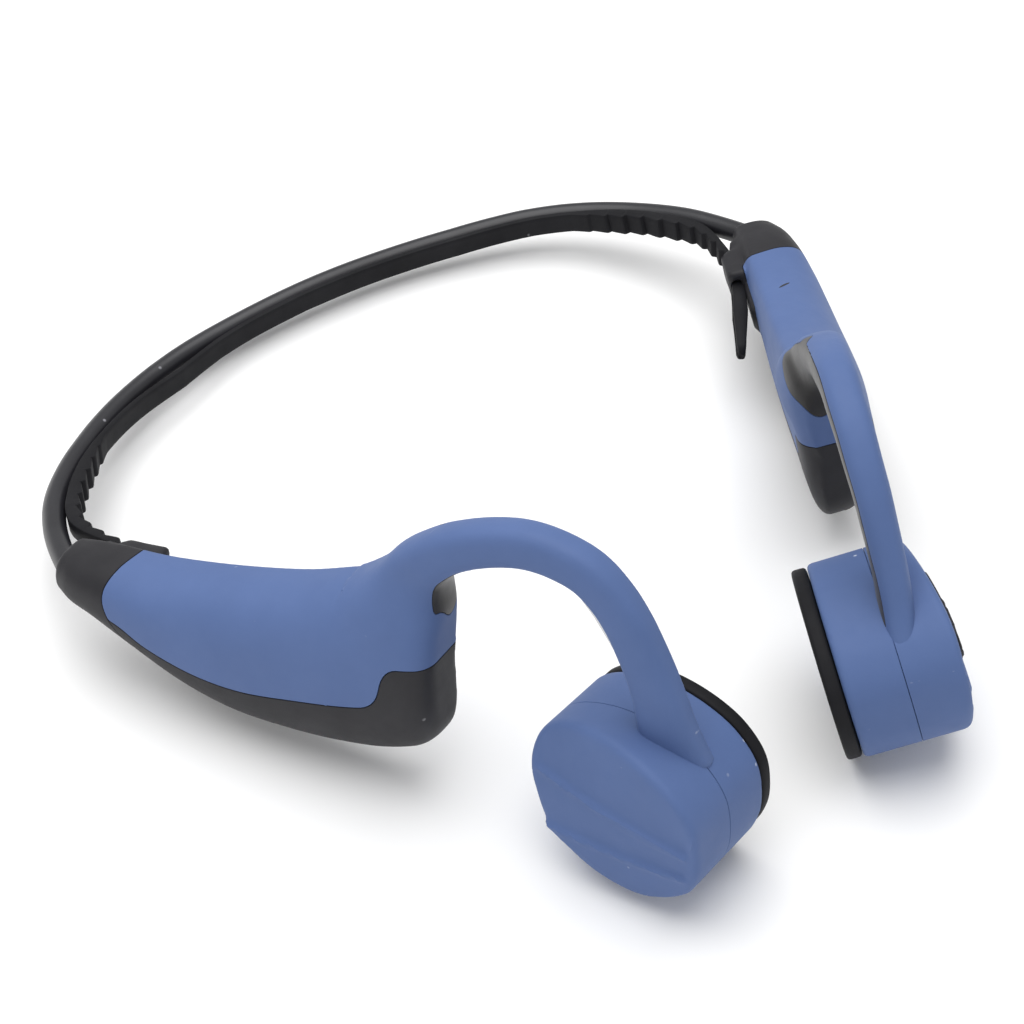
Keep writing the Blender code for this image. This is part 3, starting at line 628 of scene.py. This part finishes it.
def turned_foot(points):
    """The left hook's foot stands a little further forward, with its turned pod."""
    share = np.clip((hook_local(points)[0] - FOOT_FROM) / 0.24, 0, 1)**2
    forward, outward, rise = LEFT_POD_AXES
    shift = FOOT_SHIFT[0] * forward - FOOT_SHIFT[1] * outward - FOOT_SHIFT[2] * rise
    return side_world(points) + share[:, None] * shift


CELL = 0.55
MODULE_LOW, MODULE_HIGH = (-1.5, -9.5, -14.0), (107.0, 12.5, 38.5)
module_points, module_quads = surface_net(module_field, MODULE_LOW, MODULE_HIGH, CELL)
module_faces = split_quads(module_quads)
collar_part, rest = cut(module_points, module_faces, beyond_collar, module_field, CELL)
base_part, upper = cut(rest[0], rest[1], above_parting, module_field, CELL)
liner_part, skin_part = cut(upper[0], upper[1], outside_liner, module_field, CELL, gap=0.1, lip=0.5)
both_sides("module_skin", side_world(skin_part[0]), skin_part[1], BLUE,
           ["housing_cover", "hook_sleeve"], left=turned_foot(skin_part[0]))


def side_extent(node):
    """Where a CAD node lies in the left module's frame: its middle and its half size (mm)."""
    points = world_side(np.array([v.co for v in nodes[node].data.vertices]) / MM)
    return (points.max(0) + points.min(0)) / 2, (points.max(0) - points.min(0)) / 2


def underside_oval(node):
    middle, half = side_extent(node)

    def value(p):
        """Negative on an oval of the housing's underside, over the given node."""
        long = max(half[0] - half[1], 0)
        ahead = np.maximum(np.abs(p[:, 0] - middle[0]) - long, 0)
        return np.where(p[:, 2] > middle[2] + 4, 9.0, np.hypot(ahead, p[:, 1] - middle[1]) - half[1])

    return value


def backed(points, faces, depth):
    """The open shell with a copy of itself behind it, so that it is closed to the eye from both sides."""
    away = slope_of(module_field, points)
    away /= np.maximum(np.linalg.norm(away, axis=1), 1e-6)[:, None]
    return np.concatenate([points, points - away * depth]), np.concatenate([faces, faces[:, ::-1] + len(points)])


VOLUME_PROUD, FLAP_PROUD, FLAP_THICK = 1.3, 0.15, 0.8
left_base = base_part
for name, node, proud, finish in (("volume_up_cap", "volume_up_button", VOLUME_PROUD, GLOSS),
                                  ("volume_down_cap", "volume_down_button", VOLUME_PROUD, GLOSS),
                                  ("port_flap", "port_cover", FLAP_PROUD, RUBBER)):
    cap, left_base = cut(*left_base, underside_oval(node), module_field, CELL, gap=0.26, lip=1.9)
    if node == "port_cover":
        cap = backed(*cap, FLAP_THICK)
    cap_points = side_world(cap[0] - np.array([0, 0, proud]))
    slot = "black_rubber" if node == "port_cover" else "black_matte_plastic"
    piece(name, cap_points, cap[1], finish, node, 40.0, [node])
piece("module_base_left", side_world(left_base[0]), left_base[1], BLACK, "left_side", 40.0,
      ["housing_base_left"])
piece("module_base_right", side_world(base_part[0]) * np.array([-1, 1, 1]), base_part[1][:, ::-1], BLACK,
      "right_side", 40.0, ["housing_base_right"])
both_sides("module_collar", side_world(collar_part[0]), collar_part[1], BLACK, ["collar"])
both_sides("hook_liner_skin", side_world(liner_part[0]), liner_part[1], LINER, ["hook_liner"],
           left=turned_foot(liner_part[0]))


# ---- the neckband: tube, wire and cable, bending round the back ----

BAND = COLLAR + np.array([(0, 0, 0), (-5.7, 31.9, -7.6), (-28.7, 44.1, -10.7), (-65, 44.1, -10.7)])
BEND = [np.array([-34, 60, 3.2]) * MM, np.array([34, 60, 3.2]) * MM]


def bezier(t):
    t = np.asarray(t, float)[:, None]
    a, b, c, d = BAND
    return a * (1 - t)**3 + b * 3 * (1 - t)**2 * t + c * 3 * (1 - t) * t**2 + d * t**3


def mirrored_line(half):
    """A line from the left collar to the middle of the back, continued to the right collar."""
    return np.concatenate([half, half[-2::-1] * np.array([-1, 1, 1])])


leaving = (BAND[1] - BAND[0]) / np.linalg.norm(BAND[1] - BAND[0])
start = BAND[0] - leaving * np.linspace(4.4, 0.8, 5)[:, None]
band_line, _ = even_curve(mirrored_line(np.concatenate([start, bezier(np.linspace(0.0, 1.0, 40))])), 260)

# How far the right side of the band is set inwards, by distance back (mm).
RIGHT_SET = [(20.0, -0.5), (27.0, -0.5), (37.0, -0.4), (42.0, -0.15), (50.5, 0.95), (57.0, 1.6), (64.5, 1.05),
             (68.5, 0.25), (71.0, 0.0), (80.0, 0.0)]


def drift(line):
    """The band's own small set: flatter on the right, a little fuller on the left, and high at the back."""
    x, y = line[:, 0], line[:, 1]
    right = hermite(RIGHT_SET, np.clip(y, 20, 80))[:, 0] * np.clip((-18 - x) / 10, 0, 1)
    left = -0.9 * np.exp(-((y - 56) / 14)**2) * np.clip((x - 30) / 12, 0, 1)
    centre = np.stack([np.zeros(len(line)), np.full(len(line), 20.0)], -1)
    inward = centre - line[:, :2]
    inward /= np.linalg.norm(inward, axis=1)[:, None]
    rise = 0.55 * np.clip((y - 34) / 24, 0, 1) + 0.6 * np.exp(-((x - 3) / 17)**2)
    rise += 0.6 * np.exp(-((y - 38) / 9)**2) * np.clip((x - 40) / 12, 0, 1)
    return line + np.c_[inward * (right + left)[:, None], rise]


band_line = drift(band_line)


def band_frames(line):
    tangent = directions(line)
    inward = np.cross(np.array([0, 0, 1.0]), tangent)
    inward /= np.linalg.norm(inward, axis=1)[:, None]
    return tangent, inward, np.cross(tangent, inward)


def sweep(name, line, section, material, body, replaces, smooth=40.0):
    """A closed bar whose rings are section(index) offsets (inward, up) along a line in the row frame."""
    tangent, inward, up = band_frames(line)
    rings = []
    for i in range(len(line)):
        offsets = section(i)
        rings.append(line[i] + offsets[:, :1] * inward[i] + offsets[:, 1:] * up[i])
    points = np.concatenate(rings)
    faces = outward_faces(points, tube_faces(len(line), len(offsets)))
    return piece(name, points, faces, material, body, smooth, replaces)


def round_section(radius, sides, rise):
    turn = np.linspace(0, 2 * math.pi, sides, endpoint=False)
    return np.stack([radius * np.cos(turn), radius * np.sin(turn) + rise], -1)


BOTH = ("right_side", "left_side", BEND[0], BEND[1])
for name, radius, sides, rise, finish, slot, old in (
        ("neckband_tube_skin", 1.85, 28, 0.0, TUBE, "black_rubber", "neckband_tube"),
        ("neckband_wire_core", 0.45, 8, -0.62, STEEL, "spring_steel", "neckband_wire"),
        ("neckband_cable_core", 0.38, 8, 0.68, COPPER, "copper_winding", "neckband_cable")):
    ring = round_section(radius, sides, rise)
    sweep(name, band_line, lambda i, ring=ring: ring, finish, BOTH, [old + "_left", old + "_right"])


# ---- the strap: along the inside of the tube, through the loops, to a grooved tongue at each end ----

STRAP_OFFSETS = [(1.0, 2.7), (0.86, 2.7), (0.72, 2.7), (0.58, 2.7), (0.44, 2.7), (0.32, 2.8), (0.2, 2.9),
                 (0.08, 3.0)]
STRAP_TAIL = [(8.5, -3.85, 1.6), (14.0, -4.0, 1.1), (20.0, -4.9, -0.1), (28.4, -6.6, -1.3)]
STRAP_LIFT, STRAP_HALF_HEIGHT, STRAP_HALF_THICK = 0.25, 1.95, 0.5
TAIL_HALF_HEIGHT = 1.6
STRAP_CORNER, GROOVE_DEPTH, GROOVE_LENGTH = 0.28, 0.28, 17
TOOTH_PITCH, TOOTH_RISE, TEETH_FROM, TEETH = 3.6, 0.65, 51.0, 10


def strap_route():
    points = []
    for t, offset in STRAP_OFFSETS:
        ahead = bezier([t - 0.01])[0] - bezier([t + 0.01])[0]
        inward = np.cross(ahead, [0, 0, 1.0])
        points.append(bezier([t])[0] + inward / np.linalg.norm(inward) * offset + np.array([0, 0, STRAP_LIFT]))
    return np.concatenate([points, side_world(STRAP_TAIL)])


strap_line, strap_lengths = even_curve(strap_route(), 720)
strap_side = world_side(strap_line)
split = int(np.argmax(strap_side[:, 0] > -3.2))


def tooth_rise(place):
    if not TEETH_FROM < place < TEETH_FROM + TEETH * TOOTH_PITCH:
        return 0.0
    phase = (place - TEETH_FROM) / TOOTH_PITCH % 1.0
    height = TOOTH_RISE * min(1, 0.35 + 0.65 * max(0, place - TEETH_FROM) / 10)
    return height * (min(1, phase / 0.75)**0.8 if phase < 0.86 else max(0, (1 - phase) / 0.14)**0.7)


def strap_section(place, total):
    """A flat band with rounded corners and a shallow groove down its inner face. Near its end it is a tongue."""
    rise = tooth_rise(place)
    left = total - place
    high = np.interp(left, [30, 38], [TAIL_HALF_HEIGHT, STRAP_HALF_HEIGHT])
    high *= 1 + 0.08 * math.exp(-((left - 3.0) / 2.5)**2)
    thick = STRAP_HALF_THICK + np.interp(left, [0, 3, 9, 15, 19], [0.25, 0.35, 0.75, 0.5, 0.0])
    if left < 1.6:
        high *= math.sqrt(max(0.12, 1 - (1 - left / 1.6)**2))
        thick *= 0.6 + 0.4 * left / 1.6
    thick += 0.4 * np.clip((place - TEETH_FROM) / 8, 0, 1) * np.clip((left - 26) / 8, 0, 1)
    face = thick + rise
    groove = GROOVE_DEPTH if left < GROOVE_LENGTH else 0.0
    r = STRAP_CORNER
    return np.array([(face - r, high), (face - 0.08, high - 0.1), (face, high - r), (face, 0.55 * high),
                     (face - groove, 0.42 * high), (face - groove, -0.42 * high), (face, -0.55 * high),
                     (face, r - high), (face - 0.08, 0.1 - high), (face - r, -high), (r - thick, -high),
                     (0.08 - thick, 0.1 - high), (-thick, r - high), (-thick, high - r), (0.08 - thick, high - 0.1),
                     (r - thick, high)])


STRAP_SLACK = [(1.1, -27, 12), (0.35, -55, 7)]
BAND_FADE = 14
half_strap = strap_line[:split + 1]
whole_strap = np.concatenate([half_strap[::-1], half_strap[1:] * np.array([-1, 1, 1])])
strap_inward = np.cross(np.array([0, 0, 1.0]), directions(whole_strap))
strap_inward /= np.linalg.norm(strap_inward, axis=1)[:, None]
slack = sum(depth * np.exp(-((whole_strap[:, 0] - x) / width)**2) for depth, x, width in STRAP_SLACK)
whole_places = np.concatenate([strap_lengths[:split + 1][::-1], strap_lengths[1:split + 1]])
fade = np.clip((strap_lengths[split] - whole_places) / BAND_FADE, 0, 1)
fade = (fade * fade * (3 - 2 * fade))[:, None]
whole_strap = whole_strap + fade * (drift(whole_strap) + strap_inward * slack[:, None] - whole_strap)
sweep("strap_band", whole_strap, lambda i: strap_section(whole_places[i], strap_lengths[-1]), RUBBER,
      BOTH, ["strap_middle_left", "strap_middle_right"], 30.0)
for side, flip in (("left", 1), ("right", -1)):
    line = strap_line[split:] * np.array([flip, 1, 1])
    places = strap_lengths[split:]
    if flip == 1:
        line, places = line[::-1], places[::-1]
    at = [side_world([(-2.8, -4.0, 1.0)])[0], side_world([(4.6, -4.8, 0.5)])[0]]
    at = [p * np.array([flip, 1, 1]) * MM for p in at]
    sweep(f"strap_tongue_{side}", line, lambda i, places=places: strap_section(places[i], strap_lengths[-1]),
          RUBBER, (f"{side}_side", f"strap_end_{side}", at[0], at[1]), [f"strap_end_{side}"], 30.0)


# ---- pods ----

POD_OUTLINE = [(14.0, -1.4), (13.7, 2.8), (12.6, 6.2), (10.4, 8.8), (7.2, 10.8), (2.6, 12.0), (-2.4, 12.1),
               (-6.8, 10.9), (-10.4, 8.9), (-12.6, 6.4), (-13.4, 3.2), (-13.0, 0.3), (-11.6, -2.6), (-9.8, -5.6),
               (-8.4, -7.2), (-5.3, -8.6), (-1.1, -10.4), (3.0, -11.2), (6.8, -10.8), (10.4, -8.6), (12.8, -5.6)]


def closed_curve(points, count):
    points = np.asarray(points, float)
    wrapped = np.concatenate([points[-3:], points, points[:4]])
    rows = np.c_[np.arange(-3, len(points) + 4), wrapped]
    return hermite(rows, np.linspace(0, len(points), count, endpoint=False))


outline = closed_curve(POD_OUTLINE, 160)


def outline_distance(x, z):
    """Signed distance from the pod's outline, negative inside."""
    best = np.full(x.shape, 1e9)
    crossings = np.zeros(x.shape, int)
    for (x0, z0), (x1, z1) in zip(outline, np.roll(outline, -1, axis=0)):
        dx, dz = x1 - x0, z1 - z0
        u = np.clip(((x - x0) * dx + (z - z0) * dz) / (dx * dx + dz * dz), 0, 1)
        best = np.minimum(best, np.hypot(x - x0 - u * dx, z - z0 - u * dz))
        hit = (z0 > z) != (z1 > z)
        crossings += hit & (x < x0 + (z - z0) / np.where(z1 == z0, 1, z1 - z0) * dx)
    return np.where(crossings % 2 == 1, -best, best)


PLAN_REACH, PLAN_STEP = 17, 0.2
plan_axis = np.arange(-PLAN_REACH, PLAN_REACH + 0.01, PLAN_STEP)
plan = outline_distance(*np.meshgrid(plan_axis, plan_axis, indexing="ij"))


def plan_distance(x, z):
    """The same distance, read from the table of it."""
    u = np.clip((x + PLAN_REACH) / PLAN_STEP, 0, len(plan_axis) - 1.001)
    v = np.clip((z + PLAN_REACH) / PLAN_STEP, 0, len(plan_axis) - 1.001)
    i, j = u.astype(int), v.astype(int)
    fu, fv = u - i, v - j
    return (plan[i, j] * (1 - fu) * (1 - fv) + plan[i + 1, j] * fu * (1 - fv) + plan[i, j + 1] * (1 - fu) * fv
            + plan[i + 1, j + 1] * fu * fv)


BUTTON_CENTRE, BUTTON_HALF, BUTTON_PROUD = (1.0, 4.2), (7.4, 3.0), 0.5
CROWN, LEDGE = 0.0098, 0.6
BEAD_RISE, BEAD_WIDTH = 0.24, 0.55
POD_CELL = 0.5


def louvre(x, z):
    """How far the pod's outer face stands back: three leaves, each lowest along its lower edge."""
    first = z - (1.15 - 0.01 * x)
    second = z - (-5.15 + 0.165 * x)
    upper = np.clip(1 - first / 9.0, 0, 1)
    middle = np.clip(1 - second / np.maximum(first * -1 + second, 0.5), 0, 1)
    lower = np.clip(-second / 6.0, 0, 1)
    step = np.where(first > 0, upper, np.where(second > 0, middle, lower))
    for edge in (first, second):
        u = np.clip(edge / LEDGE, 0, 1)
        step = np.where((edge > 0) & (edge < LEDGE), step * u * u * (3 - 2 * u), step)
    side = np.clip((13.0 - x) / 1.4, 0, 1) * np.clip((x + 13.0) / 2.0, 0, 1)
    bead = BEAD_RISE * sum(np.exp(-((edge - 0.1) / BEAD_WIDTH)**2) for edge in (first, second))
    back = 0.42 + 0.15 * np.clip((x + 13) / 26, 0, 1)
    return (back * step - bead) * side * side * (3 - 2 * side)


def pod_field(p):
    x, y, z = p[:, 0], p[:, 1], p[:, 2]
    rim = plan_distance(x, z)
    crown = CROWN * (0.755 * x - 0.727 * z - 3.0)**2
    face = smooth_max(rim, y + louvre(x, z) + crown, 1.1)
    return smooth_max(face, -y - POD_DEPTH, 0.9)


def pod_parting(p):
    return p[:, 1] + POD_PARTING


def outside_button(p):
    """Negative on the long oval button in the outer face."""
    ahead = np.maximum(np.abs(p[:, 0] - BUTTON_CENTRE[0]) - (BUTTON_HALF[0] - BUTTON_HALF[1]), 0)
    return np.where(p[:, 1] < -4, 9.0, np.hypot(ahead, p[:, 2] - BUTTON_CENTRE[1]) - BUTTON_HALF[1])


# Depth behind the pod's inner face, and how far in from its outline, for each ring of the pad.
PAD_ROWS = [(0.0, 1.0), (0.10, 0.55), (0.35, 0.32), (0.9, 0.26), (1.7, 0.26), (2.05, 0.34), (2.22, 0.55),
            (2.3, 0.95), (2.32, 2.2), (2.34, 5.0), (2.36, 9.0)]
pod_net = surface_net(pod_field, (-16, -19.2, -14), (16, 1.5, 14), POD_CELL)
pod_shape = pod_net[0], split_quads(pod_net[1])
for side, flip in (("left", 1), ("right", -1)):
    inner_part, outer_part = cut(*pod_shape, pod_parting, pod_field, POD_CELL, gap=0.09)
    if side == "left":
        button, outer_part = cut(*outer_part, outside_button, pod_field, POD_CELL, gap=0.12, lip=1.6)
        points = pod_world(button[0] + np.array([0, BUTTON_PROUD, 0]), side)
        piece("multifunction_cap", points, button[1], BLACK, "multifunction_button", 40.0,
              ["multifunction_button"])
    for name, part, old in (("pod_shell", inner_part, "pod_body"), ("pod_face", outer_part, "pod_cover")):
        points = pod_world(part[0], side) * np.array([flip, 1, 1])
        faces = part[1] if flip == 1 else part[1][:, ::-1]
        piece(f"{name}_{side}", points, faces, BLUE, f"{side}_side", 40.0, [f"{old}_{side}"])

    rings = []
    for depth, inset in PAD_ROWS:
        reach = np.linalg.norm(outline, axis=1)[:, None]
        flat = outline * (reach - inset) / reach
        rings.append(np.stack([flat[:, 0], np.full(len(flat), -(POD_DEPTH + 0.1 + depth)), flat[:, 1]], -1))
    points = pod_world(np.concatenate(rings), side) * np.array([flip, 1, 1])
    faces = outward_faces(points, tube_faces(len(rings), len(outline)))
    pad = piece(f"ear_pad_skin_{side}", points, faces, RUBBER, f"{side}_side", 50.0,
                [f"ear_pad_{side}"])


# ---- the microphone's slot in the left housing's top ----

# Station, outward and half width along the slot.
MIC_SLOT = [(26.0, 1.9, 0.03), (25.8, 2.2, 0.2), (25.4, 2.8, 0.26), (25.0, 3.5, 0.2), (24.8, 3.8, 0.03)]
slot_rows = []
for s_at, t_at, half in MIC_SLOT:
    slot_rows += [(s_at - half, t_at - 0.15 * half), (s_at + half, t_at + 0.15 * half)]
slot_points = np.array([(s_at, t_at, 9.0) for s_at, t_at in slot_rows])
for _ in range(12):
    slot_points[:, 2] -= module_field(slot_points) - 0.02
slot_faces = [[2 * i, 2 * i + 1, 2 * i + 3, 2 * i + 2] for i in range(4)]
under = slot_points - np.array([0, 0, 0.5])
slot_all = side_world(np.concatenate([slot_points, under]))
rim_loop = [0, 1, 3, 5, 7, 9, 8, 6, 4, 2]
slot_walls = [[a, b, b + 10, a + 10] for a, b in zip(rim_loop, rim_loop[1:] + rim_loop[:1])]
slot_all_faces = slot_faces + [[v + 10 for v in f[::-1]] for f in slot_faces] + slot_walls
piece("microphone_slot", slot_all, outward_faces(slot_all, slot_all_faces), GLOSS, "left_side",
      30.0)


# ---- camera, light and floor ----

def light(name, location, target, size, power):
    data = bpy.data.lights.new(name, "AREA")
    data.shape = "DISK"
    data.size = size
    data.energy = power
    obj = bpy.data.objects.new(name, data)
    obj.location = location
    obj.rotation_euler = (Vector(target) - Vector(location)).to_track_quat("-Z", "Y").to_euler()
    bpy.context.scene.collection.objects.link(obj)


def stage():
    """A plain pale floor, just under the model."""
    size = 3.0
    mesh = bpy.data.meshes.new("floor")
    mesh.from_pydata([(-size, -size, 0), (size, -size, 0), (size, size, 0), (-size, size, 0)], [], [(0, 1, 2, 3)])
    material, tree, shader = new_material("pale_floor")
    shader.inputs["Base Color"].default_value = (0.94, 0.94, 0.94, 1)
    shader.inputs["Roughness"].default_value = 0.9
    mesh.materials.append(material)
    floor = bpy.data.objects.new("floor", mesh)
    floor.location = (0, 0, -0.0003)
    bpy.context.scene.collection.objects.link(floor)


world = bpy.data.worlds.new("soft_white")
world.use_nodes = True
world.node_tree.nodes["Background"].inputs["Color"].default_value = (1, 1, 1, 1)
world.node_tree.nodes["Background"].inputs["Strength"].default_value = 0.52
bpy.context.scene.world = world
bpy.context.scene.view_settings.view_transform = "Standard"
stage()
AIM = (0, 0, 0.02)
light("overhead", (0.0, 0.16, 0.88), AIM, 1.2, 9.8)
light("left_fill", (-0.75, -0.25, 0.35), AIM, 0.5, 0.5)

CAMERA_AT = Vector((-0.13459, -0.20340, 0.24777))
CAMERA_AZIMUTH, CAMERA_ELEVATION, CAMERA_ROLL = math.radians(-32.903), math.radians(44.664), math.radians(-2.767)
camera_data = bpy.data.cameras.new("camera")
camera_data.lens = 77.16
camera_data.sensor_width = 36.0
camera_data.clip_start = 0.01
camera = bpy.data.objects.new("camera", camera_data)
back = Vector((math.cos(CAMERA_ELEVATION) * math.sin(CAMERA_AZIMUTH),
               -math.cos(CAMERA_ELEVATION) * math.cos(CAMERA_AZIMUTH), math.sin(CAMERA_ELEVATION)))
level_right = Vector((0, 0, 1)).cross(back).normalized()
level_up = back.cross(level_right)
right = level_right * math.cos(CAMERA_ROLL) + level_up * math.sin(CAMERA_ROLL)
view = Matrix((right, back.cross(right), back)).transposed().to_4x4()
view.translation = CAMERA_AT
camera.matrix_world = view
bpy.context.scene.collection.objects.link(camera)
bpy.context.scene.camera = camera
